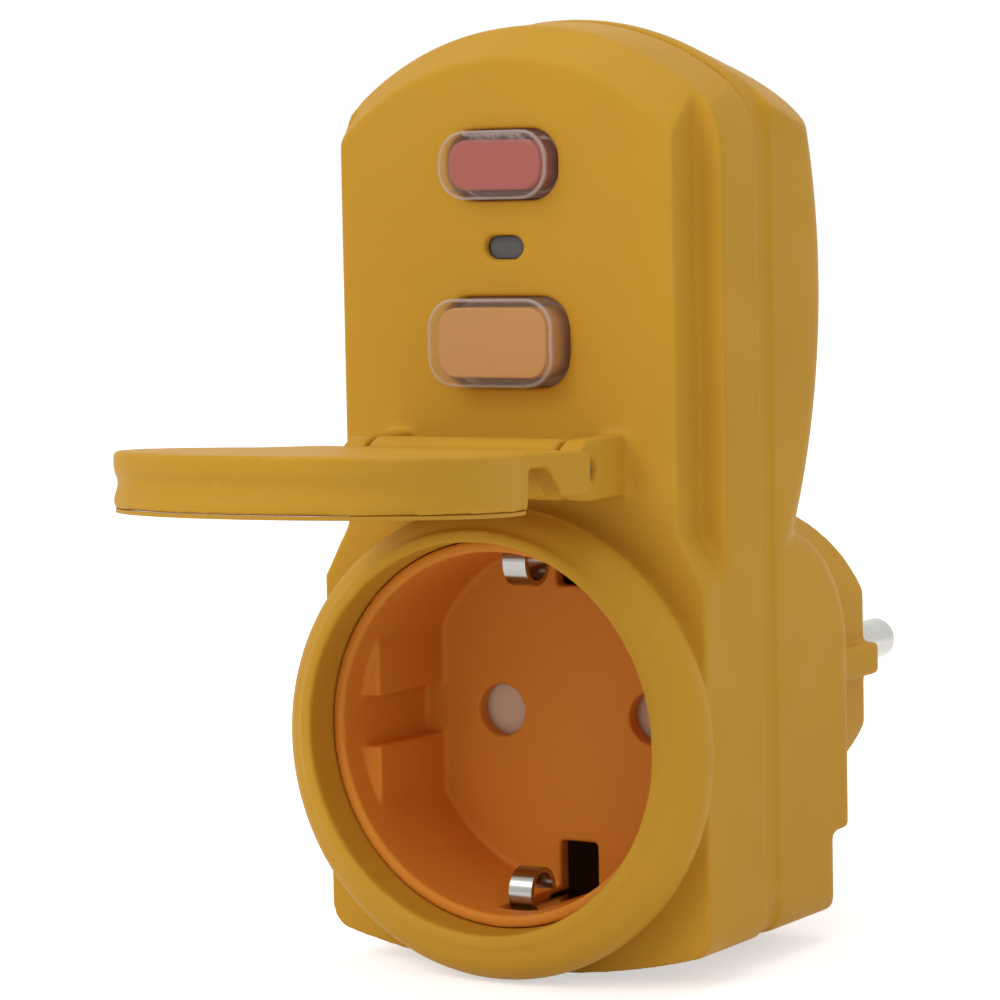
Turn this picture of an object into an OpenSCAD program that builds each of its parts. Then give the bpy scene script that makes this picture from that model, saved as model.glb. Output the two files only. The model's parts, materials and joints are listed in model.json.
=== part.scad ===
// Residual current adapter plug with a lidded socket, in millimetres.
// Origin: centre of the plug's end face. +X right, +Y towards the wall, +Z up.
// Sub-parts are drawn from the front panel and the socket axis, then moved to the origin.

/* [Housing] */
// Width of the housing
body_w = 46.8; // [45:0.2:52]
// Width of the front panel between the finger flutes
panel_w = 40.8; // [38:0.2:43]
// Depth of the finger flutes behind the front panel
flute_d = 5; // [3:0.1:6]
// Depth of the front shell
front_d = 13.6; // [12.8:0.1:14.5]
// Greatest depth of the upper housing
upper_d = 34.5; // [33:0.5:36]
// Depth of the lower housing, from the front panel to its back
lower_d = 37.6; // [36:0.1:38]
// Depth of the set back bottom end of the housing
heel_d = 33.6; // [30:0.2:34.4]
// Thickness of the housing walls
wall = 2; // [1.6:0.1:2.4]
// Height of the arch centre above the socket axis
arch_z = 43; // [41:0.5:46]
// Radius of the arch at the back of the flutes
flute_arch_r = 31.9; // [31:0.1:33]
// Fall of the arch from the flutes to the front panel
panel_arch_fall = 3.5; // [2:0.1:4]
// Rise of the arch from the flutes to the rear shell
rear_arch_rise = 1.3; // [0.8:0.1:2]
// Fall of the arch from the seam to the back
back_arch_fall = 4; // [1:0.1:5]
// Height of the housing's bottom above the collar's lowest point
bottom_lift = 0.2; // [0.1:0.1:1]
// Radius of the curved bottom
bottom_r = 80; // [60:1:120]
// Height where the flutes begin to flare out
flare_top_z = 21.5; // [20:0.1:24]
// Height where the flare reaches the full width
flare_low_z = 16; // [13:0.1:18]
// Radius of the curved back, seen from the side
back_r = 58; // [52:1:80]
// Height of the deepest point of the curved back
back_z = 47; // [43:0.5:48]
// Radius of the rear corners
rear_round = 7; // [4:0.5:8]
// Set back of the rear shell's sides from the front shell's
shell_step = 0.6; // [0.2:0.1:0.8]
// Radius of the corners between the arch and the sides
corner_r = 11; // [8:0.5:12]
// Radius of the bottom corners
bottom_corner_r = 3; // [2.6:0.1:4]
// Radius of the rounded shoulder above the plug
shoulder_r = 15; // [14:0.5:17]
// Height where the shoulder begins to round
shoulder_z = 5.5; // [3:0.5:6]

/* [Socket] */
// Reach of the collar's bulge below the socket axis
collar_r = 26.2; // [25.6:0.1:26.6]
// Projection of the collar from the front panel
collar_p = 7.7; // [7:0.1:8]
// Inner radius of the collar
rim_r = 20.8; // [20.6:0.1:21]
// Depth of the socket's rim face inside the collar
rim_d = 4.4; // [4:0.1:4.6]
// Radius of the collar's bulging outside
collar_round = 4.1; // [3.6:0.1:4.4]
// Drop of the collar's bulge below the socket axis
collar_drop = 0.9; // [0.5:0.1:1.2]
// Width of the collar's flat lip
lip_t = 1.4; // [1.35:0.05:1.7]
// Set back of the collar's bulge behind its lip
lip_step = 0.4; // [0.2:0.1:0.8]
// Radius of the socket well
well_r = 19.4; // [19.2:0.05:19.8]
// Depth of the well from its rim face to its floor
well_depth = 17.3; // [16.5:0.1:17.8]
// Thickness of the well floor
floor_t = 2; // [1.5:0.1:2.2]
// Distance between the pins
pin_spacing = 19; // [18.5:0.1:19.5]
// Radius of the pin holes in the well floor
pin_hole_r = 2.9; // [2.6:0.1:3.1]
// Distance from the centre to the flat guide faces
guide_x = 17; // [16.5:0.1:17.5]
// Width of the groove between the guide blocks
guide_gap = 5.5; // [4.5:0.1:6]
// Start of the guide blocks behind the rim face
guide_start = 3.9; // [1:0.1:5]
// Width of the earth clips
clip_w = 2.8; // [2.4:0.1:4]
// Thickness of the contact strip metal
strip_t = 0.6; // [0.4:0.1:0.8]
// Radius of the earth clips' curled ends
clip_r = 2.7; // [2.2:0.1:2.9]

/* [Plug] */
// Radius of the plug barrel
plug_r = 18; // [17.6:0.1:19]
// Length of the plug barrel
plug_len = 16.2; // [16:0.1:20]
// Height of the plug axis above the socket axis
plug_rise = 2.6; // [2:0.1:3]
// Distance from the centre to the barrel's flat sides
plug_flat = 16.3; // [16:0.1:17]
// Width of the guide ribs on the barrel
rib_w = 3.8; // [3.4:0.1:5]
// Projection of the guide ribs
rib_p = 1.8; // [1:0.1:2]
// Radius of the pins
pin_r = 2.4; // [2.2:0.05:2.5]
// Length of the pins outside the barrel
pin_len = 19; // [17:0.5:20]

/* [Lid] */
// Radius of the lid plate
lid_r = 20.4; // [20:0.1:20.5]
// Thickness of the lid plate
lid_t = 1.6; // [1.4:0.1:3]
// Depth of the lid's plug inside the collar
lid_plug_t = 4; // [3:0.1:4]
// Thickness of the lid seal
lid_seal_t = 0.4; // [0.2:0.1:0.5]
// Half width of the lid's hinge side
lid_leaf_x = 16.4; // [16:0.1:18]
// Height of the hinge axis above the socket axis
hinge_z = 28.7; // [28.6:0.1:29.4]
// Distance of the hinge axis in front of the panel
hinge_p = 7.5; // [7:0.1:8]
// Radius of the hinge pin
hinge_pin_r = 1.1; // [0.8:0.05:1.3]
// Radius of the hinge knuckle and lugs
knuckle_r = 3.2; // [2.6:0.1:3.3]
// Half width over the hinge lugs
hinge_x = 14.5; // [13.5:0.1:16]
// Thickness of one hinge lug
lug_t = 2.8; // [2:0.1:3.5]
// Angle that the lid stands open
lid_open = 93; // [85:1:100]

/* [Buttons] */
// Half width of the test button's cap
test_x = 6.6; // [6:0.1:7]
// Half height of the test button's cap
test_h = 3.65; // [3.4:0.05:3.9]
// Height of the test button above the socket axis
test_z = 60.2; // [59.5:0.1:60.6]
// Projection of the test button
test_p = 2.3; // [1.8:0.1:2.6]
// Half width of the reset button's cap
reset_x = 7.6; // [7:0.1:8]
// Half height of the reset button's cap
reset_h = 4.7; // [4:0.1:4.8]
// Height of the reset button above the socket axis
reset_z = 41.5; // [40.8:0.1:42]
// Projection of the reset button
reset_p = 3.4; // [2:0.1:3.6]
// Travel of both buttons
travel = 1.5; // [0.8:0.1:1.6]
// Wall of the clear caps
cap_t = 0.9; // [0.6:0.05:1.1]
// Height of the indicator window above the socket axis
lamp_z = 51.5; // [51:0.1:51.8]
// Half width of the indicator window
lamp_x = 2.3; // [1.9:0.1:2.6]
// Half height of the indicator window
lamp_h = 1.25; // [1:0.05:1.4]

/* [Inside] */
// Distance from the housing's side to the edge of the circuit board
board_edge = 8.4; // [8.2:0.1:8.8]
// Thickness of the circuit board
board_t = 1.6; // [1:0.1:1.7]
// Gap between the front panel and the circuit board
board_y = 12.2; // [12:0.1:12.3]
// Radius of the housing screws
screw_r = 1.25; // [1:0.05:1.4]
// Opening travel of the contact carriage
trip_travel = 2; // [1.5:0.1:2]
// Angle that the shutter turns
shutter_turn = 40; // [38:1:44]

/* [Hidden] */
$fn = 64;

// Clearances
gap = 0.3;
slip = 0.1;
run = 0.05;

// Housing
half_w = body_w / 2;
panel_x = panel_w / 2;
seal_t = 0.4;
rear_y = front_d + seal_t;
panel_arch_r = flute_arch_r - panel_arch_fall;
rear_arch_r = flute_arch_r + rear_arch_rise;
back_arch_r = rear_arch_r - back_arch_fall;
bottom_z = collar_r - bottom_lift;
rear_x = half_w - shell_step;
seam_arch_r = rear_arch_r - shell_step;
plug_end = lower_d + plug_len;
reach = 200;
arc_cross = 0.1;
band_d = 3.6;
band_step = 0.4;
heel_z = 14.2;
boss_r = 2.8;
upper_screw = [half_w - 5.4, arch_z + 14];
lower_screw = [half_w - wall - boss_r + gap, -bottom_z + 7.5];
screw_head_r = 2.5;
screw_head_t = 2;
screw_seat_y = 22;
screw_tip_y = flute_d + wall + 1;

// Socket
rim_y = rim_d - collar_p;
floor_y = rim_y + well_depth;
floor_back = floor_y + floor_t;
cup_r = rim_r - slip;
cup_step = 0.6;
sleeve_r = rim_r + 1.6;
sleeve_y = front_d - 2;
pin_x = pin_spacing / 2;
clip_slot_x = clip_w / 2 + 0.9;
clip_sink = 0.6;
clip_z = well_r + clip_sink + strip_t / 2;
pivot_r = 1.6;
pivot_y = floor_back + 4.4;
shutter_y = floor_back + gap;
shutter_t = 1.5;
shutter_r = pin_x + 4;
contact_y = floor_back + 4;
contact_len = 12;
contact_bore = pin_r + run;
contact_r = contact_bore + 0.8;
outlet_x = 13.5;
bar_t = 0.8;
bar_w = 2;
earth_y = floor_back + 6.5;

// Plug
barrel_hollow = 12.6;
barrel_root = lower_d - shoulder_r + 3;
shank_r = pin_r - 0.3;
pin_neck = 0.5;
end_wall = 3;
carrier_t = 6;
pin_root_y = plug_end - end_wall - carrier_t - 4;
earth_strip_r = 13.6;
supply_y = contact_y + 3.4;
supply_w = 2.4;
supply_low_z = plug_rise + 5;

// Lid, drawn closed
lid_back = -collar_p - gap;
lid_front = lid_back - lid_t;
lid_plug_r = lid_r - 0.1;
groove_r = 1.6;
groove_shift = 0.5;
web_x = 12.6;
web_gap = 0.9;
web_t = lid_plug_t - 1;
lug_in = hinge_x - lug_t;
knuckle_x = lug_in - gap;
leaf_top = hinge_z - knuckle_r - gap;

// Buttons and lamp
cap_round = 3.2;
window_sink = 0.8;
key_flange = 1;
flange_y = wall + gap;
flange_t = 1;
stem_r = 1.5;
switch_x = 2.2;
switch_y = board_y - 3.1;
stem_end = switch_y - gap - travel;
button_spring_r = 3.8;
spring_wire = 0.3;

// Board and mechanism
board_x = half_w - board_edge;
board_back = board_y + board_t;
board_low = rim_r + 4.9;
board_top = arch_z + 22;
post_r = 2.2;
post_x = board_x - 2.7;
post_low = board_low + 5.5;
post_high = board_top - 3.7;
board_screw_r = 0.9;
core_z = arch_z - 7;
core_in = 4.6;
core_out = 7.5;
core_y = board_back + 1.3;
core_len = 5;
winding_t = 0.7;
lead_x = 2;
lead_w = 1.4;
trip_z = arch_z + 7;
trip_y = board_back + 5.9;
plunger_r = 1.6;
plunger_wall_gap = 1.8;
plunger_x0 = wall + plunger_wall_gap - rear_x;
plunger_x1 = 2;
coil_r = 4.5;
coil_x0 = plunger_x0 + 6;
coil_x1 = -2;
yoke_t = 1;
plunger_head_r = 2.6;
carriage_x0 = plunger_x1 + gap;
carriage_len = 8;
carriage_h = 3;
bridge_x = carriage_x0 + 2.7;
bridge_t = 0.8;
bridge_h = 6;
rivet_t = 0.6;
stop_x = carriage_x0 + carriage_len + trip_travel + 1.6;
rail_x = bridge_x + bridge_t + trip_travel + gap;

// Moves a sub-part from the front panel and socket axis to the origin
module placed() {
    translate([0, -plug_end, -plug_rise]) children();
}

// Round bar along Y, centred on X and Z of zero
module rod(y0, y1, r) {
    translate([0, y0, 0]) rotate([-90, 0, 0]) cylinder(h = y1 - y0, r = r);
}

// Tapered round bar along Y
module taper(y0, y1, r0, r1) {
    translate([0, y0, 0]) rotate([-90, 0, 0]) cylinder(h = y1 - y0, r1 = r0, r2 = r1);
}

// Round bar along X
module cross_rod(x0, x1, r) {
    translate([x0, 0, 0]) rotate([0, 90, 0]) cylinder(h = x1 - x0, r = r);
}

// Box between two corners
module block(low, high) {
    translate(low) cube(high - low);
}

// Flat outline in X and Z, given depth along Y
module slab(y0, y1) {
    translate([0, y1, 0]) rotate([90, 0, 0]) linear_extrude(y1 - y0) children();
}

// Rectangle with round corners
module rounded(x, h, r) {
    square([2 * (x - r), 2 * h], center = true);
    square([2 * x, 2 * (h - r)], center = true);
    for (sx = [-1, 1], sz = [-1, 1]) translate([sx * (x - r), sz * (h - r)]) circle(r);
}

// One layer of the housing outline: arched top, straight sides, curved bottom
module layer(y0, y1, x, r0, r1, inset) {
    intersection() {
        union() {
            translate([0, 0, arch_z]) taper(y0, y1, r0, r1);
            block([-reach / 2, y0, -reach / 2], [reach / 2, y1, arch_z]);
        }
        translate([0, 0, bottom_r - bottom_z]) rod(y0, y1, bottom_r - inset);
        slab(y0, y1) {
            corner_area(x, arch_z, max(r0, r1) + arc_cross, corner_r - inset);
            mirror([0, 1])
                corner_area(x, bottom_z - bottom_r, bottom_r - inset + arc_cross, bottom_corner_r - inset);
        }
    }
}

// Area below two round corners that touch the sides at x and an arc about height z
module corner_area(x, z, arc, r) {
    side_x = x - r;
    side_z = z + sqrt(pow(arc - r, 2) - pow(side_x, 2));
    touch_x = side_x * arc / (arc - r);
    translate([-touch_x, 0]) square([2 * touch_x, reach]);
    translate([-x, 0]) square([2 * x, side_z]);
    for (s = [-1, 1]) translate([s * side_x, side_z]) circle(r);
}

// Plan of the rear shell with round rear corners, as a tall column
module rear_plan(x, depth, r, z0, z1) {
    translate([0, 0, z0]) linear_extrude(z1 - z0) {
        translate([-x, 0]) square([2 * x, depth - r]);
        translate([r - x, 0]) square([2 * (x - r), depth]);
        for (s = [-1, 1]) translate([s * (x - r), depth - r]) circle(r);
    }
}

// Wide wheel about an axis along X, with round rim edges
module wheel(y, z, radius, x, r) {
    translate([0, y, z]) rotate([0, 90, 0]) rotate_extrude() {
        translate([0, -x]) square([radius - r, 2 * x]);
        translate([0, r - x]) square([radius, 2 * (x - r)]);
        for (s = [-1, 1]) translate([radius - r, s * (x - r)]) intersection() {
            circle(r);
            translate([0, -r]) square([r, 2 * r]);
        }
    }
}

// Places its children at the four housing screws
module at_screws() {
    for (s = [-1, 1], p = [upper_screw, lower_screw]) translate([s * p[0], 0, p[1]]) children();
}

// Places its children at the four board screws
module at_posts() {
    for (s = [-1, 1], z = [post_low, post_high]) translate([s * post_x, 0, z]) children();
}

// Wire coil along Y from y0 to y1
module coil(y0, y1, r, wire, turns) {
    per_turn = 12;
    sides = 6;
    rings = per_turn * turns;
    pitch = (y1 - y0 - 2 * wire) / rings;
    points = [
        for (i = [0 : rings], j = [0 : sides - 1])
            let (a = i * 360 / per_turn, b = j * 360 / sides, d = r + wire * cos(b))
                [d * cos(a), y0 + wire + i * pitch + wire * sin(b), d * sin(a)]
    ];
    walls = [
        for (i = [0 : rings - 1], j = [0 : sides - 1])
            let (a = i * sides + j, b = i * sides + (j + 1) % sides)
                each [[a, b, b + sides], [a, b + sides, a + sides]]
    ];
    first = [for (j = [1 : sides - 2]) [0, j + 1, j]];
    last = [for (j = [1 : sides - 2]) [rings * sides, rings * sides + j, rings * sides + j + 1]];
    polyhedron(points, concat(walls, first, last));
}

// Outside of the front shell without its collar
module front_body() {
    difference() {
        union() {
            layer(0, flute_d, half_w, panel_arch_r, flute_arch_r, 0);
            layer(flute_d, front_d, half_w, flute_arch_r, seam_arch_r, 0);
        }
        for (s = [-1, 1]) scale([s, 1, 1]) slab(-1, flute_d)
            polygon([[panel_x, flare_top_z], [half_w + 1, flare_low_z - (flare_top_z - flare_low_z) / 3],
                     [half_w + 1, reach / 2], [panel_x, reach / 2]]);
    }
}

module front_shell() {
    color("#e2a21f") placed() difference() {
        union() {
            difference() {
                front_body();
                layer(wall, flute_d + wall, panel_x - wall, panel_arch_r - 1, flute_arch_r - wall, wall);
                layer(flute_d + wall, front_d + 1, half_w - wall, flute_arch_r - wall, flute_arch_r - wall, wall);
            }
            collar(0);
            rod(0, sleeve_y, sleeve_r);
            for (s = [-1, 1]) translate([s * upper_screw[0], 0, upper_screw[1]]) rod(flute_d + 1, front_d, boss_r);
            for (s = [-1, 1]) translate([s * lower_screw[0], 0, lower_screw[1]]) rod(1, front_d, boss_r);
            at_posts() rod(1, board_y, post_r);
            for (s = [-1, 1]) hinge_lug(s);
        }
        rod(-collar_p - 1, front_d + 1, rim_r);
        translate([0, -hinge_p, hinge_z]) cross_rod(-lug_in, lug_in, knuckle_r + gap);
        translate([0, -hinge_p, hinge_z]) cross_rod(-half_w, half_w, hinge_pin_r + run);
        translate([0, 0, test_z]) slab(-1, wall + 1) rounded(test_x + slip, test_h + slip, cap_round + slip);
        translate([0, 0, reset_z]) slab(-1, wall + 1) rounded(reset_x + slip, reset_h + slip, cap_round + slip);
        translate([0, 0, lamp_z]) slab(-1, wall + 1) rounded(lamp_x, lamp_h, lamp_h - run);
        at_screws() rod(screw_tip_y - gap, front_d + 1, screw_r + run);
        at_posts() rod(wall + 2 - gap, board_y + 1, board_screw_r + run);
    }
}

// Collar round the socket, with a flat lip and a bulging outside that sits lower, grown by a margin
module collar(more) {
    bulge_p = collar_p - lip_step;
    bulge_r = collar_r - collar_drop - collar_round;
    rod(-collar_p - more, wall, rim_r + lip_t + more);
    translate([0, 0, -collar_drop]) rotate([90, 0, 0]) rotate_extrude() {
        translate([0, -wall]) square([bulge_r, bulge_p + wall + more]);
        translate([bulge_r, bulge_p - collar_round]) intersection() {
            circle(collar_round + more);
            translate([0, -reach / 2]) square(reach);
        }
    }
}

// One lug of the lid hinge, rooted in the front panel
module hinge_lug(s) {
    x0 = s > 0 ? lug_in : -hinge_x;
    translate([0, -hinge_p, hinge_z]) cross_rod(x0, x0 + lug_t, knuckle_r);
    block([x0, -hinge_p, hinge_z - knuckle_r], [x0 + lug_t, 1, hinge_z + knuckle_r]);
}

// Solid form of the rear shell: inset 0 is the outside, inset wall is the cavity
module rear_body(inset) {
    x = rear_x - inset;
    slope = (rear_arch_r - back_arch_r) / (upper_d - rear_y);
    arch0 = rear_arch_r + slope * rear_y - inset;
    arch1 = back_arch_r - inset;
    low_round = rear_round / 2;
    intersection() {
        layer(0, upper_d, x, arch0, arch1, inset);
        wheel(upper_d - back_r, back_z, back_r - inset, x, rear_round - inset);
        block([-reach, 0, shoulder_z], [reach, reach, reach]);
    }
    intersection() {
        layer(0, lower_d, x, arch0, arch0, inset);
        wheel(lower_d - shoulder_r, shoulder_z, shoulder_r - inset, x, low_round - inset / 2);
        block([-reach, 0, shoulder_z], [reach, reach, reach]);
    }
    intersection() {
        layer(0, lower_d, x, arch0, arch0, inset);
        rear_plan(x, lower_d - inset, low_round - inset / 2, -heel_z + inset, shoulder_z);
    }
    intersection() {
        layer(0, heel_d, x, arch0, arch0, inset);
        rear_plan(x, heel_d - inset, low_round - inset / 2, -bottom_z - 1, shoulder_z);
    }
}

// Plug barrel with flat sides and guide ribs
module barrel() {
    translate([0, 0, plug_rise]) {
        intersection() {
            rod(barrel_root, plug_end, plug_r);
            block([-plug_flat, 0, -plug_r], [plug_flat, plug_end, plug_r]);
        }
        block([-plug_flat - rib_p, barrel_root, -rib_w / 2], [plug_flat + rib_p, plug_end, rib_w / 2]);
    }
}

module rear_shell() {
    color("#e2a21f") placed() difference() {
        union() {
            intersection() {
                difference() {
                    union() {
                        rear_body(0);
                        barrel();
                    }
                    rear_body(wall);
                    seam_band();
                }
                block([-reach / 2, rear_y, -reach / 2], [reach / 2, reach, reach / 2]);
            }
            intersection() {
                rear_body(0);
                at_screws() rod(rear_y, lower_d, boss_r + 1);
            }
        }
        translate([0, 0, plug_rise]) rod(barrel_root, plug_end - end_wall, barrel_hollow);
        for (s = [-1, 1]) translate([s * pin_x, 0, plug_rise]) {
            rod(plug_end - end_wall - 1, plug_end + 1, shank_r + run);
            rod(plug_end - pin_neck, plug_end + 1, pin_r + run);
        }
        for (s = [-1, 1]) earth_groove(s);
        at_screws() rod(rear_y - 1, lower_d, screw_r + slip);
        at_screws() rod(screw_seat_y, lower_d + 1, screw_head_r + slip);
    }
}

// Shallow band round the rear shell, next to the seam
module seam_band() {
    r = rear_arch_r - band_step;
    difference() {
        block([-reach / 2, 0, -reach / 2], [reach / 2, rear_y + band_d, reach / 2]);
        layer(-1, rear_y + band_d + 1, rear_x - band_step, r, r, band_step);
    }
}

// Groove along the barrel for one side earth contact
module earth_groove(s) {
    low = earth_strip_r - slip;
    translate([0, 0, plug_rise]) scale([1, 1, s]) {
        block([-clip_slot_x, lower_d + 1, low], [clip_slot_x, plug_end + 1, plug_r + 1]);
        block([-clip_slot_x, barrel_root, low], [clip_slot_x, lower_d + 2, low + strip_t + 2 * slip]);
    }
}

module housing_seal() {
    inset = band_step + slip;
    color("#c2882a") placed() difference() {
        layer(front_d, rear_y, rear_x - inset, seam_arch_r - inset, seam_arch_r - inset, inset);
        layer(front_d - 1, rear_y + 1, half_w - wall, flute_arch_r - wall, flute_arch_r - wall, wall);
    }
}

module housing_screws() {
    color("silver") placed() at_screws() {
        rod(screw_tip_y, screw_seat_y + run, screw_r);
        difference() {
            rod(screw_seat_y, screw_seat_y + screw_head_t, screw_head_r);
            block([-0.4, screw_seat_y + 1, -screw_r], [0.4, screw_seat_y + 3, screw_r]);
            block([-screw_r, screw_seat_y + 1, -0.4], [screw_r, screw_seat_y + 3, 0.4]);
        }
    }
}

module socket_insert() {
    color("#c9781c") placed() difference() {
        union() {
            rod(rim_y, sleeve_y, cup_r);
            rod(rim_y, floor_back, cup_r - cup_step);
            rod(floor_y, pivot_y, pivot_r);
        }
        difference() {
            rod(rim_y - 1, floor_y, well_r);
            for (sx = [-1, 1], sz = [-1, 1]) scale([sx, 1, sz])
                block([guide_x, rim_y + guide_start, guide_gap / 2], [reach, floor_y, reach]);
        }
        for (s = [-1, 1]) translate([s * pin_x, 0, 0]) rod(floor_y - 1, floor_back + 1, pin_hole_r);
        for (s = [-1, 1]) scale([1, 1, s]) {
            block([-clip_slot_x, rim_y + guide_start, 0.8 * well_r], [clip_slot_x, floor_back + 1, clip_z + strip_t]);
            block([-clip_slot_x, floor_y - 1, 0.73 * well_r], [clip_slot_x, floor_back + 1, well_r]);
        }
    }
}

module shutter() {
    color("#e8d6c4") placed() difference() {
        rod(shutter_y, shutter_y + shutter_t, shutter_r);
        rod(shutter_y - 1, shutter_y + shutter_t + 1, pivot_r + run);
        for (a = [0, 180]) rotate([0, a - shutter_turn, 0]) translate([pin_x, 0, 0])
            rod(shutter_y - 1, shutter_y + shutter_t + 1, pin_hole_r + gap);
    }
}

module shutter_spring() {
    color("silver") placed() coil(shutter_y + shutter_t + gap / 2, pivot_y, pivot_r + 0.8, spring_wire, 2);
}

// Female contact tube with its outlet strip up to the circuit board
module socket_contact(s) {
    strip_x = s * outlet_x - bar_w / 2;
    up_z = rim_r + 2.4;
    placed() {
        difference() {
            translate([s * pin_x, 0, 0]) rod(contact_y, contact_y + contact_len, contact_r);
            translate([s * pin_x, 0, 0]) rod(contact_y - 1, contact_y + contact_len + 1, contact_bore);
            block([s * pin_x - 0.4, contact_y + 2, -contact_r - 1], [s * pin_x + 0.4, contact_y + contact_len + 1, 0]);
        }
        block([min(s * (pin_x + contact_bore + 0.3), s * (outlet_x + bar_w / 2)), contact_y, -bar_w / 2],
              [max(s * (pin_x + contact_bore + 0.3), s * (outlet_x + bar_w / 2)), contact_y + bar_t, bar_w / 2]);
        block([strip_x, contact_y, -bar_w / 2], [strip_x + bar_w, contact_y + bar_t, up_z]);
        block([strip_x, board_back, up_z - bar_t], [strip_x + bar_w, contact_y + bar_t, up_z]);
        block([strip_x, board_back, up_z - bar_t], [strip_x + bar_w, board_back + bar_t, board_low + 2]);
    }
}

module socket_contact_left() {
    color("#c8a24a") socket_contact(-1);
}

module socket_contact_right() {
    color("#c8a24a") socket_contact(1);
}

// Earth strip with a curled end, above or below the socket axis
module earth_clip(s) {
    top_z = clip_z + strip_t / 2;
    curl_y = rim_y + guide_start + gap + clip_r;
    placed() scale([1, 1, s]) {
        block([-clip_w / 2, curl_y, top_z - strip_t], [clip_w / 2, earth_y, top_z]);
        difference() {
            translate([0, curl_y, top_z - clip_r]) cross_rod(-clip_w / 2, clip_w / 2, clip_r);
            translate([0, curl_y, top_z - clip_r]) cross_rod(-clip_w, clip_w, clip_r - strip_t);
            block([-clip_w, curl_y, top_z - clip_r], [clip_w, curl_y + clip_r + 1, top_z - strip_t]);
        }
    }
}

module earth_clip_upper() {
    color("#d9d9d6") earth_clip(1);
}

module earth_clip_lower() {
    color("#d9d9d6") earth_clip(-1);
}

module earth_bar() {
    top_z = clip_z + strip_t / 2;
    color("#d9d9d6") placed() block([-clip_w / 2, earth_y, -top_z], [clip_w / 2, earth_y + bar_t, top_z]);
}

module plug_carrier() {
    color("#4a4a4c") placed() difference() {
        translate([0, 0, plug_rise]) rod(plug_end - end_wall - carrier_t, plug_end - end_wall, barrel_hollow - slip);
        for (s = [-1, 1]) translate([s * pin_x, 0, plug_rise])
            rod(plug_end - end_wall - carrier_t - 1, plug_end, shank_r + run);
    }
}

// One plug pin with a thinner shank, a tapered tip and a collar behind the carrier
module plug_pin(s) {
    tip = 1.5;
    collar_y = plug_end - end_wall - carrier_t;
    placed() translate([s * pin_x, 0, plug_rise]) {
        rod(pin_root_y, plug_end + pin_neck + run, shank_r);
        rod(plug_end + pin_neck, plug_end + pin_len - tip, pin_r);
        taper(plug_end + pin_len - tip, plug_end + pin_len, pin_r, pin_r - 1);
        rod(collar_y - 1, collar_y, pin_r + 0.6);
    }
}

module plug_pin_left() {
    color("silver") plug_pin(-1);
}

module plug_pin_right() {
    color("silver") plug_pin(1);
}

// Side earth contact of the plug, a strip with a raised middle
module plug_earth(s) {
    placed() translate([0, 0, plug_rise]) scale([1, 1, s]) {
        block([-clip_w / 2, earth_y + bar_t, earth_strip_r],
              [clip_w / 2, plug_end - 1.5, earth_strip_r + strip_t]);
        block([-clip_w / 2, lower_d + 5, earth_strip_r],
              [clip_w / 2, plug_end - 4, plug_r - 0.6]);
    }
}

module plug_earth_upper() {
    color("#d9d9d6") plug_earth(1);
}

module plug_earth_lower() {
    color("#d9d9d6") plug_earth(-1);
}

// Supply strip from a plug pin, up the housing and through the core to the board
module supply_bar(s) {
    x0 = s * pin_x - supply_w / 2;
    x1 = s * pin_x + supply_w / 2;
    lead0 = s * lead_x - lead_w / 2;
    lead1 = s * lead_x + lead_w / 2;
    placed() {
        block([x0, pin_root_y - bar_t, plug_rise - pin_r], [x1, pin_root_y, supply_low_z + bar_t]);
        block([x0, supply_y, supply_low_z], [x1, pin_root_y, supply_low_z + bar_t]);
        block([x0, supply_y, supply_low_z], [x1, supply_y + bar_t, core_z + bar_t / 2]);
        block([min(x0, lead0), supply_y, core_z - bar_t / 2], [max(x1, lead1), supply_y + bar_t, core_z + bar_t / 2]);
        block([lead0, board_back, core_z - bar_t / 2], [lead1, supply_y + bar_t, core_z + bar_t / 2]);
    }
}

module supply_bar_left() {
    color("#b87333") supply_bar(-1);
}

module supply_bar_right() {
    color("#b87333") supply_bar(1);
}

// Swings lid pieces, drawn closed, about the hinge axis to the open rest pose
module opened() {
    placed() translate([0, -hinge_p, hinge_z]) rotate([-lid_open, 0, 0]) translate([0, hinge_p, -hinge_z]) children();
}

module lid_cover() {
    color("#e2a21f") opened() difference() {
        union() {
            rod(lid_front, lid_back, lid_r);
            block([-lid_leaf_x, lid_front, 0], [lid_leaf_x, lid_back, leaf_top]);
            rod(lid_back - run, lid_back + lid_plug_t, lid_plug_r);
            for (s = [-1, 1]) lid_web(s);
            block([-knuckle_x, lid_front, leaf_top - 2], [knuckle_x, lid_back, hinge_z]);
            translate([0, -hinge_p, hinge_z]) cross_rod(-knuckle_x, knuckle_x, knuckle_r);
        }
        translate([0, -hinge_p, hinge_z]) cross_rod(-half_w, half_w, hinge_pin_r + run);
        translate([0, lid_back + groove_r, groove_shift]) rotate([90, 0, 0]) rotate_extrude()
            translate([lid_plug_r + groove_r - slip, 0]) circle(groove_r);
    }
}

// Deep corner of the lid beside the hinge, outside the collar
module lid_web(s) {
    difference() {
        scale([s, 1, 1]) block([web_x, lid_back - run, 0], [lid_leaf_x, lid_back + web_t, leaf_top]);
        collar(web_gap);
    }
}

module lid_seal() {
    color("#b8741d") opened() difference() {
        rod(lid_back + lid_plug_t, lid_back + lid_plug_t + lid_seal_t, lid_plug_r - 0.2);
        rod(lid_back, lid_back + lid_plug_t + 1, well_r + 0.2);
    }
}

module hinge_pin() {
    color("silver") placed() translate([0, -hinge_p, hinge_z]) cross_rod(0.7 - hinge_x, hinge_x - 0.7, hinge_pin_r);
}

// Coloured key inside the clear cap, with its flange and stem
module key(x, h, p) {
    side = cap_t + slip;
    slab(cap_t / 2 + slip - p, flange_y) rounded(x - side, h - side, cap_round - side);
    slab(flange_y, flange_y + flange_t) rounded(x + key_flange, h + key_flange, cap_round);
    rod(flange_y, stem_end, stem_r);
}

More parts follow.
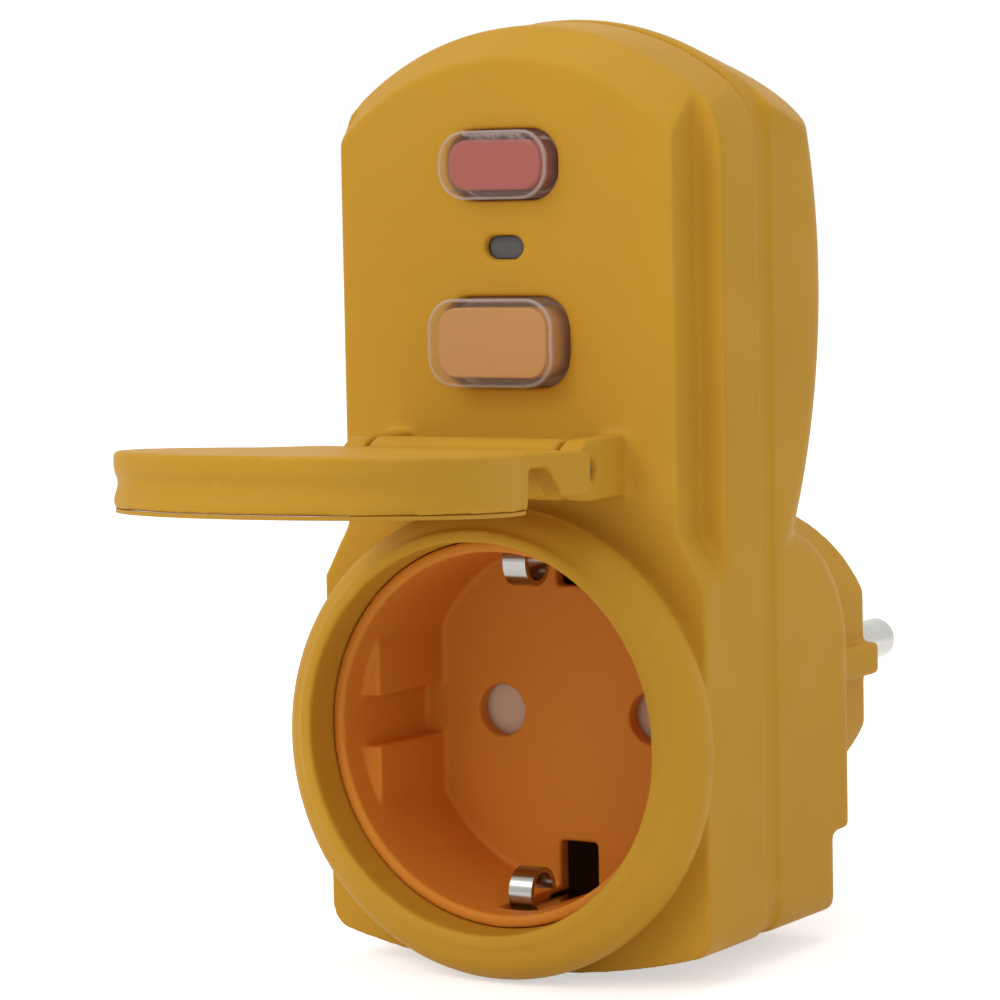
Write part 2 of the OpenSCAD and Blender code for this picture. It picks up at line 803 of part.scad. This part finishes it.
// Clear cap over the key
module cap(x, h, p) {
    difference() {
        slab(-p, flange_y) rounded(x, h, cap_round);
        slab(cap_t / 2 - p, flange_y + 1) rounded(x - cap_t, h - cap_t, cap_round - cap_t);
    }
}

module test_button() {
    color("#b4392d") placed() translate([0, 0, test_z]) key(test_x, test_h, test_p);
}

module test_cap() {
    color("#c9b8b0") placed() translate([0, 0, test_z]) cap(test_x, test_h, test_p);
}

module reset_button() {
    color("#e39a34") placed() translate([0, 0, reset_z]) key(reset_x, reset_h, reset_p);
}

module reset_cap() {
    color("#c9b8b0") placed() translate([0, 0, reset_z]) cap(reset_x, reset_h, reset_p);
}

module button_spring() {
    coil(flange_y + flange_t + run, board_y - run, button_spring_r, spring_wire, 5);
}

module test_spring() {
    color("silver") placed() translate([0, 0, test_z]) button_spring();
}

module reset_spring() {
    color("silver") placed() translate([0, 0, reset_z]) button_spring();
}

// Push switch on the circuit board
module push_switch() {
    block([-switch_x, switch_y + 0.6, -switch_x], [switch_x, board_y, switch_x]);
    rod(switch_y, switch_y + 1, stem_r);
}

module test_switch() {
    color("#2b2b2e") placed() translate([0, 0, test_z]) push_switch();
}

module reset_switch() {
    color("#2b2b2e") placed() translate([0, 0, reset_z]) push_switch();
}

module indicator_window() {
    color("#55565a") placed() translate([0, 0, lamp_z]) {
        slab(window_sink, wall + run) rounded(lamp_x - run, lamp_h - run, lamp_h - 2 * run);
        slab(wall, wall + 0.6) rounded(lamp_x + 0.8, lamp_h + 0.8, lamp_h);
    }
}

module indicator_lamp() {
    color("#7fae4a") placed() translate([0, 0, lamp_z]) {
        rod(wall + 2.4, board_y, 1.4);
        taper(wall + 1.2, wall + 2.4, 0.8, 1.4);
    }
}

module circuit_board() {
    color("#2f6b45") placed() difference() {
        block([-board_x, board_y, board_low], [board_x, board_back, board_top]);
        at_posts() rod(board_y - 1, board_back + 1, board_screw_r + slip);
    }
}

module board_screws() {
    color("silver") placed() at_posts() {
        rod(wall + 2, board_back + run, board_screw_r);
        rod(board_back, board_back + 1.4, post_r - 0.3);
    }
}

// Ring around the core axis with a rectangular section
module core_ring(y0, y1, r0, r1, angle) {
    translate([0, y0, core_z]) rotate([-90, 0, 0]) rotate_extrude(angle = angle)
        translate([r0, 0]) square([r1 - r0, y1 - y0]);
}

module sum_core() {
    color("#6d6e72") placed() core_ring(core_y, core_y + core_len, core_in, core_out, 360);
}

module core_winding() {
    y0 = core_y - winding_t - run;
    y1 = core_y + core_len + winding_t + run;
    color("#b5651d") placed() difference() {
        core_ring(y0, y1, core_in - winding_t - run, core_out + winding_t + run, 300);
        core_ring(core_y - run, core_y + core_len + run, core_in - run, core_out + run, 360);
    }
}

module trip_coil() {
    color("#a85f22") placed() translate([0, trip_y, trip_z]) difference() {
        cross_rod(coil_x0, coil_x1, coil_r);
        cross_rod(coil_x0 - 1, coil_x1 + 1, plunger_r + slip);
    }
}

module coil_yoke() {
    color("#8b8d91") placed() difference() {
        union() {
            block([coil_x0 - yoke_t, board_back, trip_z - coil_r],
                  [coil_x1 + yoke_t, trip_y - coil_r - slip, trip_z + coil_r]);
            for (x = [coil_x0 - yoke_t, coil_x1])
                block([x, board_back, trip_z - coil_r], [x + yoke_t, trip_y + coil_r, trip_z + coil_r]);
        }
        translate([0, trip_y, trip_z]) cross_rod(coil_x0 - 5, coil_x1 + 5, plunger_r + slip);
    }
}

module trip_plunger() {
    color("silver") placed() translate([0, trip_y, trip_z]) {
        cross_rod(plunger_x0, plunger_x1, plunger_r);
        cross_rod(plunger_x0, plunger_x0 + 0.8, plunger_head_r);
    }
}

// Coil along X, made from the Y coil
module cross_coil(x0, x1, r, turns) {
    rotate([0, 0, -90]) coil(x0, x1, r, spring_wire, turns);
}

module plunger_spring() {
    color("silver") placed() translate([0, trip_y, trip_z])
        cross_coil(plunger_x0 + 0.8 + run, coil_x0 - yoke_t - run, plunger_r + 0.6, 3);
}

module contact_carriage() {
    color("#e6e2d6") placed() difference() {
        block([carriage_x0, board_back + gap, trip_z - carriage_h],
              [carriage_x0 + carriage_len, trip_y + 3, trip_z + carriage_h]);
        for (y = [trip_y - 3, trip_y]) block([bridge_x, y, trip_z - carriage_h - 1],
                                             [bridge_x + bridge_t, y + 2, trip_z + carriage_h + 1]);
    }
}

module moving_contacts() {
    color("#b87333") placed() for (y = [trip_y - 3, trip_y]) {
        block([bridge_x, y, trip_z - bridge_h], [bridge_x + bridge_t, y + 2, trip_z + bridge_h]);
        for (s = [-1, 1]) translate([0, y + 1, trip_z + s * (bridge_h - 1)])
            cross_rod(bridge_x - rivet_t, bridge_x + 0.1, 0.8);
    }
}

module fixed_contacts() {
    x1 = bridge_x - rivet_t - gap;
    color("#c8a24a") placed() for (s = [-1, 1], y = [trip_y - 3, trip_y])
        block([x1 - bar_t, y == trip_y ? y - 0.6 : board_back, trip_z + s * (bridge_h - 1) - 1],
              [x1, y + 2, trip_z + s * (bridge_h - 1) + 1]);
}

module carriage_frame() {
    color("#3d3f44") placed() {
        block([stop_x, board_back, trip_z - carriage_h - 1], [stop_x + 1, trip_y + 3, trip_z + carriage_h + 1]);
        for (s = [-1, 1]) translate([0, 0, trip_z + s * (carriage_h + gap + 0.35)])
            block([rail_x, board_back, -0.35], [stop_x + 0.5, trip_y + 3, 0.35]);
    }
}

module carriage_spring() {
    color("silver") placed() translate([0, trip_y, trip_z])
        cross_coil(carriage_x0 + carriage_len + run, stop_x - run, 1.8, 3);
}

module varistor() {
    color("#2f5fa3") placed() translate([post_x - 2.1, 0, lamp_z + 0.5]) rod(board_y - 3, board_y, 3.5);
}

module capacitor() {
    color("#c9a227") placed() block([-board_x + 1, board_y - 4, lamp_z - 2.8], [-board_x + 8.5, board_y, lamp_z + 3]);
}

module control_chip() {
    color("#2b2b2e") placed() block([-3, board_y - 1.6, board_low + 2], [3, board_y, board_low + 6]);
}

front_shell();
rear_shell();
housing_seal();
housing_screws();
socket_insert();
shutter();
shutter_spring();
socket_contact_left();
socket_contact_right();
earth_clip_upper();
earth_clip_lower();
earth_bar();
plug_carrier();
plug_pin_left();
plug_pin_right();
plug_earth_upper();
plug_earth_lower();
supply_bar_left();
supply_bar_right();
lid_cover();
lid_seal();
hinge_pin();
test_button();
test_cap();
test_spring();
test_switch();
reset_button();
reset_cap();
reset_spring();
reset_switch();
indicator_window();
indicator_lamp();
circuit_board();
board_screws();
sum_core();
core_winding();
trip_coil();
coil_yoke();
trip_plunger();
plunger_spring();
contact_carriage();
moving_contacts();
fixed_contacts();
carriage_frame();
carriage_spring();
varistor();
capacitor();
control_chip();
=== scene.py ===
"""Looks of a residual current adapter plug with a lidded socket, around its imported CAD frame, in metres."""

import json
import math

import bpy
from mathutils import Matrix, Vector


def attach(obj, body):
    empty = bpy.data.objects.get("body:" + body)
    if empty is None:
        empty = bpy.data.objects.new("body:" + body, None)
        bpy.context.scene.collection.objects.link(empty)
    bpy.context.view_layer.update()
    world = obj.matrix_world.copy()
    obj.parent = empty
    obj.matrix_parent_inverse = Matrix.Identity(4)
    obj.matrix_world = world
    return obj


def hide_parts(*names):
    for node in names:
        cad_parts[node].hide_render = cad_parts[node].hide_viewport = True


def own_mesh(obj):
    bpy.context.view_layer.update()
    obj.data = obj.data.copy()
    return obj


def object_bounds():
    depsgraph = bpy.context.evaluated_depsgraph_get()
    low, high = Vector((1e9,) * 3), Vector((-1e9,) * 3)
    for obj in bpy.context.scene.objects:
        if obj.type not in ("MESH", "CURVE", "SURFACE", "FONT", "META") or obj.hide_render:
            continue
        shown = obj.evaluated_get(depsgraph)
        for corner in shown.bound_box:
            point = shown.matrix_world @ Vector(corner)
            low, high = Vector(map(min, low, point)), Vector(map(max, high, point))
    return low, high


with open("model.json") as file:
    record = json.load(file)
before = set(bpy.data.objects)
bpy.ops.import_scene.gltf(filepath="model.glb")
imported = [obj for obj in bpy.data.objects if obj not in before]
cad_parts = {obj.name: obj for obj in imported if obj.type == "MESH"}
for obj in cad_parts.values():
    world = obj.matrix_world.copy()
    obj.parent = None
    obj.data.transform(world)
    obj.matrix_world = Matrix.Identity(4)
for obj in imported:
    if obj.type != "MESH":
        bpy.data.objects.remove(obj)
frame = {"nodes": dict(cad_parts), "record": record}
cad_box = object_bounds()
MM = 0.001

# Camera, found from the photograph: its place, its turns in degrees,
# and its lens and centre in pixels of the frame
FRAME_PX = 1000.0
CAMERA_PLACE = Vector((210.1, -412.8, 55.3)) * MM
CAMERA_YAW, CAMERA_PITCH, CAMERA_ROLL = 30.556, -4.529, -1.106
LENS_PX = 3927.5
CENTRE_PX = (493.1, 498.0)
SENSOR_MM = 36.0

# Moulded edges: grid size of the softened copies, and how many passes round their edges
SHELL_GRID, SHELL_PASSES = 0.32 * MM, 12
INSERT_GRID, INSERT_PASSES = 0.28 * MM, 3
CAP_GRID, CAP_PASSES = 0.12 * MM, 12
SMOOTH_STEP = 0.5

# Stage: floor, ambient light, and lamps with their place, diameter and power in watts
FLOOR_SIZE = 6.0
FLOOR_GAP = 0.2 * MM
FLOOR_GREY = (0.9, 0.9, 0.9, 1.0)
FLOOR_ROUGH = 0.9
FLOOR_GLOW = 0.55
AMBIENT = 0.55
WHITE = (1.0, 1.0, 1.0, 1.0)
LAMPS = {
    "key_lamp": ((-0.35, -0.95, 0.75), 0.7, 4.6),
    "side_lamp": ((0.9, -0.35, 0.35), 0.6, 0.25),
    "top_lamp": ((0.1, 0.1, 1.1), 0.8, 2.2),
}

# Sizes of surface patterns, as waves per metre
BLOTCH, TARNISH, CLOUD = 45, 220, 420
DULL_PATCH, PANE_PATCH, FINE_PATCH = 160, 600, 900
STREAK, PANE_RIPPLE, COVER_RIPPLE, SPARK_GRAIN = 1500, 2600, 3800, 5200

# Curvature, where 0.5 is flat: from where edges count as rubbed, and from where rims of clear caps get a
# painted highlight
RUBBED_FROM, RUBBED_TO = 0.52, 0.62
HIGHLIGHT_RIM_FROM, HIGHLIGHT_RIM_TO = 0.5015, 0.514

# Tones of an uneven surface, as factors on its colour; the recess factor is painted shade, darkening a pane
# near the walls of its recess
DRIFT_DARK, DRIFT_LIGHT = 0.965, 1.03
RUBBED_TONE, TARNISHED_TONE, CLOUDED_TONE, PAINTED_RECESS_SHADE = 1.22, 0.86, 0.94, 0.12

# Sockets of the colour form of the Mix node
MIX_FIRST, MIX_SECOND, MIX_RESULT = 6, 7, 2


def linear(r, g, b):
    """Turns a colour written as 0 to 255 into Blender's linear values."""
    def channel(c):
        c = c / 255
        return c / 12.92 if c <= 0.04045 else ((c + 0.055) / 1.055) ** 2.4
    return (channel(r), channel(g), channel(b), 1.0)


def shade(colour, factor):
    """Makes a colour lighter or darker by a factor."""
    return tuple(min(c * factor, 1.0) for c in colour[:3]) + (1.0,)


class Graph:
    """Small helper to build one material's nodes."""

    def __init__(self, name):
        self.material = bpy.data.materials.new(name)
        self.material.use_nodes = True
        self.nodes = self.material.node_tree.nodes
        self.links = self.material.node_tree.links
        self.surface = self.nodes["Principled BSDF"]
        self.place = self.nodes.new("ShaderNodeTexCoord").outputs["Object"]

    def feed(self, socket, value):
        """Links a socket to another node's output, or sets it to a constant."""
        if isinstance(value, bpy.types.NodeSocket):
            self.links.new(value, socket)
        else:
            socket.default_value = value

    def add(self, kind, inputs=None, **settings):
        """Makes a node with its settings and inputs."""
        node = self.nodes.new(kind)
        for key, value in settings.items():
            setattr(node, key, value)
        for key, value in (inputs or {}).items():
            self.feed(node.inputs[key], value)
        return node

    def noise(self, scale, detail=3.0, stretch=None):
        """Noise fixed to the object, stretched along an axis if asked."""
        place = self.place
        if stretch:
            place = self.add("ShaderNodeMapping", {"Vector": place, "Scale": stretch}).outputs["Vector"]
        node = self.add("ShaderNodeTexNoise", {"Vector": place, "Scale": scale, "Detail": detail})
        return node.outputs["Fac"]

    def spread(self, value, low, high, start=0.3, end=0.7):
        """Maps the range from start to end onto low to high."""
        node = self.add("ShaderNodeMapRange", {"Value": value, "From Min": start, "From Max": end,
                                               "To Min": low, "To Max": high})
        return node.outputs["Result"]

    def mix(self, factor, first, second):
        """Blends two colours."""
        node = self.add("ShaderNodeMix", {"Factor": factor}, data_type="RGBA")
        self.feed(node.inputs[MIX_FIRST], first)
        self.feed(node.inputs[MIX_SECOND], second)
        return node.outputs[MIX_RESULT]

    def bump(self, height, strength, distance, under=None):
        """Fine relief, on top of another normal if one is given."""
        inputs = {"Height": height, "Strength": strength, "Distance": distance}
        if under is not None:
            inputs["Normal"] = under
        return self.add("ShaderNodeBump", inputs).outputs["Normal"]

    def soft_edge(self, radius):
        """Normal that rounds sharp edges to the eye."""
        return self.add("ShaderNodeBevel", {"Radius": radius}, samples=6).outputs["Normal"]

    def edges(self, low, high):
        """Goes from 0 on flats and hollows to 1 on edges, by the surface's own curvature."""
        pointiness = self.add("ShaderNodeNewGeometry").outputs["Pointiness"]
        return self.spread(pointiness, 0.0, 1.0, low, high)

    def finish(self, **sockets):
        """Feeds the surface shader; an underscore stands for a space in a socket's name."""
        for key, value in sockets.items():
            self.feed(self.surface.inputs[key.replace("_", " ")], value)
        return self.material


def moulded_plastic(name, colour, rough=0.42, grain=0.12, rubbed=0.25, edge=0.0, shine=0.25):
    """Plastic with slight colour drift, fine spark grain, uneven gloss and paler rubbed edges."""
    g = Graph(name)
    blotch = g.spread(g.noise(BLOTCH, 2), 0, 1)
    drift = g.mix(blotch, shade(colour, DRIFT_DARK), shade(colour, DRIFT_LIGHT))
    rub = g.spread(g.edges(RUBBED_FROM, RUBBED_TO), 0.0, rubbed, start=0.0, end=1.0)
    tone = g.mix(rub, drift, shade(colour, RUBBED_TONE))
    gloss = g.spread(g.noise(DULL_PATCH, 4), rough - 0.05, rough + 0.06)
    under = g.soft_edge(edge) if edge else None
    normal = g.bump(g.noise(SPARK_GRAIN, 2), grain, distance=0.05 * MM, under=under)
    return g.finish(Base_Color=tone, Roughness=gloss, Normal=normal, Specular_IOR_Level=shine)


def bare_metal(name, colour, rough=0.25, streak=(1, 40, 1), edge=0.08 * MM):
    """Metal with drawn streaks and a slightly uneven tarnish."""
    g = Graph(name)
    tarnish = g.mix(g.spread(g.noise(TARNISH, 4), 0, 1), shade(colour, TARNISHED_TONE), colour)
    gloss = g.spread(g.noise(FINE_PATCH, 3, streak), rough - 0.06, rough + 0.1)
    lines = g.noise(STREAK, 2, streak)
    normal = g.bump(lines, strength=0.08, distance=0.02 * MM, under=g.soft_edge(edge))
    return g.finish(Base_Color=tarnish, Metallic=1.0, Roughness=gloss, Normal=normal)


def clear_cover(name, colour, rough=0.22, veil=0.1, rim_highlight=0.55):
    """Soft clear plastic, slightly cloudy and matt, with a painted highlight along its rounded rims, which
    turn pale and more opaque.
    """
    g = Graph(name)
    # painted highlight: the alpha rises along curved rims, so they show the pale cap colour there
    veil_and_rim_highlight = g.spread(g.edges(HIGHLIGHT_RIM_FROM, HIGHLIGHT_RIM_TO), veil, rim_highlight, start=0.0, end=1.0)
    cloud = g.mix(g.spread(g.noise(CLOUD, 3), 0, 1), shade(colour, CLOUDED_TONE), colour)
    gloss = g.spread(g.noise(FINE_PATCH, 3), rough - 0.05, rough + 0.08)
    normal = g.bump(g.noise(COVER_RIPPLE, 2), strength=0.06, distance=0.04 * MM)
    return g.finish(Base_Color=cloud, Roughness=gloss, Normal=normal, Specular_IOR_Level=0.4, Alpha=veil_and_rim_highlight)


def smoked_pane(name, colour, depth=0.9 * MM):
    """Smoked plastic pane, with painted shade where it meets the walls of its recess."""
    g = Graph(name)
    # painted shade: ambient occlusion darkens the pane's colour near the recess walls
    recess_shade_ao = g.add("ShaderNodeAmbientOcclusion", {"Distance": depth}, samples=8).outputs["AO"]
    light = g.spread(recess_shade_ao, 0, 1, start=0.55, end=0.95)
    tone = g.mix(light, shade(colour, PAINTED_RECESS_SHADE), colour)
    gloss = g.spread(g.noise(PANE_PATCH, 3), 0.14, 0.24)
    ripple = g.noise(PANE_RIPPLE, 2)
    normal = g.bump(ripple, strength=0.04, distance=0.04 * MM, under=g.soft_edge(0.1 * MM))
    return g.finish(Base_Color=tone, Roughness=gloss, Normal=normal)


YELLOW = linear(206, 155, 50)
# insert amber: partly its own colour, partly painted warm shade, pushed more orange to stand for the shade
# deep in the socket well
AMBER_AND_WELL_SHADE = linear(226, 145, 54)
NICKEL = linear(205, 203, 196)
MATERIALS = {
    "yellow_shell": moulded_plastic("yellow_shell_plastic", YELLOW, rough=0.5, shine=0.08),
    # the insert's colour carries painted warm shade of the well
    "yellow_insert": moulded_plastic("amber_insert_plastic", AMBER_AND_WELL_SHADE, rough=0.45, shine=0.12),
    "seal_rubber": moulded_plastic(
        "amber_seal_rubber", linear(184, 130, 42), rough=0.7, grain=0.2, rubbed=0.1, edge=0.05 * MM),
    "lid_gasket": moulded_plastic(
        "amber_gasket_rubber", linear(200, 148, 47), rough=0.6, grain=0.15, rubbed=0.1, edge=0.1 * MM),
    "screw_steel": bare_metal("zinc_screw_steel", linear(184, 186, 188), rough=0.34),
    "spring_steel": bare_metal("bright_spring_wire", linear(170, 172, 174), rough=0.28),
    "shutter_cream": moulded_plastic(
        "cream_shutter_plastic", linear(226, 204, 180), rough=0.45, grain=0.1, rubbed=0.2, edge=0.1 * MM),
    "contact_brass": bare_metal("stamped_brass", linear(200, 164, 80), rough=0.3),
    "nickel_strip": bare_metal(
        "bright_nickel_strip", shade(NICKEL, 0.72), rough=0.14, streak=(40, 1, 40)),
    "nickel_pin": bare_metal("turned_nickel_pin", NICKEL, rough=0.22, streak=(1, 60, 1), edge=0.15 * MM),
    "dark_plastic": moulded_plastic(
        "black_inner_plastic", linear(44, 44, 47), rough=0.5, grain=0.1, rubbed=0.2, edge=0.1 * MM),
    "bar_copper": bare_metal("bare_copper", linear(190, 122, 72), rough=0.3),
    "test_red": moulded_plastic(
        "red_key_plastic", linear(184, 74, 62), rough=0.35, grain=0.02, rubbed=0.2),
    "reset_amber": moulded_plastic(
        "amber_key_plastic", linear(216, 152, 60), rough=0.35, grain=0.02, rubbed=0.2),
    # the pale cap colour is also what the painted highlight on the cap rims shows
    "clear_cap": clear_cover("clear_cap_plastic", linear(206, 190, 182)),
    "smoked_window": smoked_pane("smoked_window_plastic", linear(82, 77, 76)),
    "lamp_epoxy": moulded_plastic(
        "green_lamp_epoxy", linear(120, 168, 76), rough=0.2, grain=0.02, rubbed=0.1),
    "board_green": moulded_plastic(
        "green_board_lacquer", linear(44, 104, 66), rough=0.3, grain=0.1, rubbed=0.1, edge=0.05 * MM),
    "core_grey": moulded_plastic(
        "grey_core_coating", linear(108, 110, 114), rough=0.5, grain=0.2, rubbed=0.2, edge=0.2 * MM),
    "winding_copper": bare_metal(
        "lacquered_winding", linear(168, 92, 40), rough=0.35, streak=(60, 1, 60)),
    "yoke_steel": bare_metal("plain_yoke_steel", linear(140, 142, 146), rough=0.38),
    "carriage_white": moulded_plastic(
        "white_carriage_plastic", linear(228, 224, 212), rough=0.45, grain=0.1, rubbed=0.2, edge=0.15 * MM),
    "varistor_blue": moulded_plastic(
        "blue_varistor_coating", linear(46, 92, 160), rough=0.3, grain=0.1, rubbed=0.1, edge=0.3 * MM),
    "capacitor_yellow": moulded_plastic(
        "yellow_capacitor_box", linear(200, 162, 42), rough=0.3, grain=0.05, rubbed=0.1, edge=0.2 * MM),
}

# What the record says of each node: its material slot and its body
NODE_SLOT = {part["node"]: part["material_slot"] for part in frame["record"]["subparts"]}
NODE_BODY = {node: body for body, nodes in frame["record"]["behaviour"]["bodies"].items() for node in nodes}


def placed_object(name, data):
    """Makes an object and puts it in the scene."""
    obj = bpy.data.objects.new(name, data)
    bpy.context.scene.collection.objects.link(obj)
    return obj


def dress(obj, slot):
    """Gives an object the one material of its slot."""
    obj.data.materials.clear()
    obj.data.materials.append(MATERIALS[slot])


def copied(node, ending):
    """Makes a copy of a CAD node, in the same place."""
    source = frame["nodes"][node]
    piece = placed_object(node + ending, source.data.copy())
    piece.matrix_world = source.matrix_world
    return piece


def stands_for(piece, node):
    """Lets a piece take a CAD node's place: it gets the finish of the node's slot and the node's body, and
    the node is hidden.
    """
    dress(piece, NODE_SLOT[node])
    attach(piece, NODE_BODY[node])
    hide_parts(node)


def softened(node, grid, passes):
    """Replaces a sharp CAD node by a copy with rounded moulded edges."""
    piece = copied(node, "_moulded")
    remesh = piece.modifiers.new("grid", "REMESH")
    remesh.mode = "VOXEL"
    remesh.voxel_size = grid
    smooth = piece.modifiers.new("edges", "SMOOTH")
    smooth.factor = SMOOTH_STEP
    smooth.iterations = passes
    shape = piece.evaluated_get(bpy.context.evaluated_depsgraph_get())
    mesh = bpy.data.meshes.new_from_object(shape)
    piece.modifiers.clear()
    piece.data = mesh
    mesh.shade_smooth()
    stands_for(piece, node)


def sprung(node):
    """Replaces a coil spring by a copy with a mesh of its own, the finish of its slot and its body."""
    piece = copied(node, "_coil")
    stands_for(piece, node)
    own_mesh(piece)


def camera_axes(yaw, pitch, roll):
    """Right, up and forward directions of the camera from its turns in degrees."""
    yaw, pitch, roll = (math.radians(a) for a in (yaw, pitch, roll))
    forward = Vector((-math.sin(yaw) * math.cos(pitch), math.cos(yaw) * math.cos(pitch), math.sin(pitch)))
    level = Vector((math.cos(yaw), math.sin(yaw), 0))
    right = level * math.cos(roll) + level.cross(forward) * math.sin(roll)
    return right, right.cross(forward), forward


def make_camera():
    """Camera that frames the object as the photograph does."""
    data = bpy.data.cameras.new("photo_camera")
    data.sensor_width = SENSOR_MM
    data.lens = LENS_PX / FRAME_PX * SENSOR_MM
    data.shift_x = 0.5 - CENTRE_PX[0] / FRAME_PX
    data.shift_y = CENTRE_PX[1] / FRAME_PX - 0.5
    camera = placed_object("photo_camera", data)
    right, up, forward = camera_axes(CAMERA_YAW, CAMERA_PITCH, CAMERA_ROLL)
    turn = Matrix((right, up, -forward)).transposed().to_4x4()
    camera.matrix_world = Matrix.Translation(CAMERA_PLACE) @ turn
    bpy.context.scene.camera = camera


def seen_directly(nodes, links):
    """Value that is 1 on rays the viewer sees straight, in gloss or through clear plastic."""
    path = nodes.new("ShaderNodeLightPath")
    total = path.outputs["Is Camera Ray"]
    for ray in ("Is Glossy Ray", "Is Transmission Ray"):
        both = nodes.new("ShaderNodeMath")
        both.operation = "MAXIMUM"
        links.new(total, both.inputs[0])
        links.new(path.outputs[ray], both.inputs[1])
        total = both.outputs[0]
    return total


def make_world(ambient):
    """White to the viewer, and a plain soft ambient light on the object."""
    world = bpy.data.worlds.new("studio")
    bpy.context.scene.world = world
    world.use_nodes = True
    nodes, links = world.node_tree.nodes, world.node_tree.links
    background = nodes["Background"]
    background.inputs["Color"].default_value = WHITE
    level = nodes.new("ShaderNodeMapRange")
    links.new(seen_directly(nodes, links), level.inputs["Value"])
    level.inputs["To Min"].default_value = ambient
    level.inputs["To Max"].default_value = 1.0
    links.new(level.outputs["Result"], background.inputs["Strength"])


def make_floor(low):
    """Pale floor that shows the object's shadow and fades into the white background."""
    mesh = bpy.data.meshes.new("floor")
    half = FLOOR_SIZE / 2
    corners = [(-half, -half, low), (half, -half, low), (half, half, low), (-half, half, low)]
    mesh.from_pydata(corners, [], [(0, 1, 2, 3)])
    floor = placed_object("floor", mesh)
    g = Graph("pale_floor")
    seen = seen_directly(g.nodes, g.links)
    g.finish(Base_Color=FLOOR_GREY, Roughness=FLOOR_ROUGH, Emission_Color=WHITE,
             Emission_Strength=g.spread(seen, 0.0, FLOOR_GLOW, 0.0, 1.0))
    mesh.materials.append(g.material)


def make_lamp(name, place, size, power, target):
    """Round soft lamp that points at a target."""
    data = bpy.data.lights.new(name, "AREA")
    data.shape = "DISK"
    data.size = size
    data.energy = power
    lamp = placed_object(name, data)
    lamp.location = place
    lamp.rotation_euler = (Vector(target) - Vector(place)).to_track_quat("-Z", "Y").to_euler()


# CAD nodes keep their shape and get their finish
for node_name, node_object in frame["nodes"].items():
    dress(node_object, NODE_SLOT[node_name])

# Moulded pieces get rounded edges
for node_name in ("front_shell", "rear_shell", "lid_cover"):
    softened(node_name, SHELL_GRID, SHELL_PASSES)
softened("socket_insert", INSERT_GRID, INSERT_PASSES)
for node_name in ("test_button", "test_cap", "reset_button", "reset_cap"):
    softened(node_name, CAP_GRID, CAP_PASSES)

# Springs are replaced by copies with meshes of their own
sprung("test_spring")
sprung("reset_spring")
sprung("plunger_spring")
sprung("carriage_spring")

# Stage, light and camera
bpy.context.scene.view_settings.view_transform = "Standard"
make_world(AMBIENT)
make_floor(cad_box[0][2] - FLOOR_GAP)
middle = [(low + high) / 2 for low, high in zip(*cad_box)]
for lamp_name, (lamp_place, lamp_size, lamp_power) in LAMPS.items():
    make_lamp(lamp_name, lamp_place, lamp_size, lamp_power, middle)
make_camera()
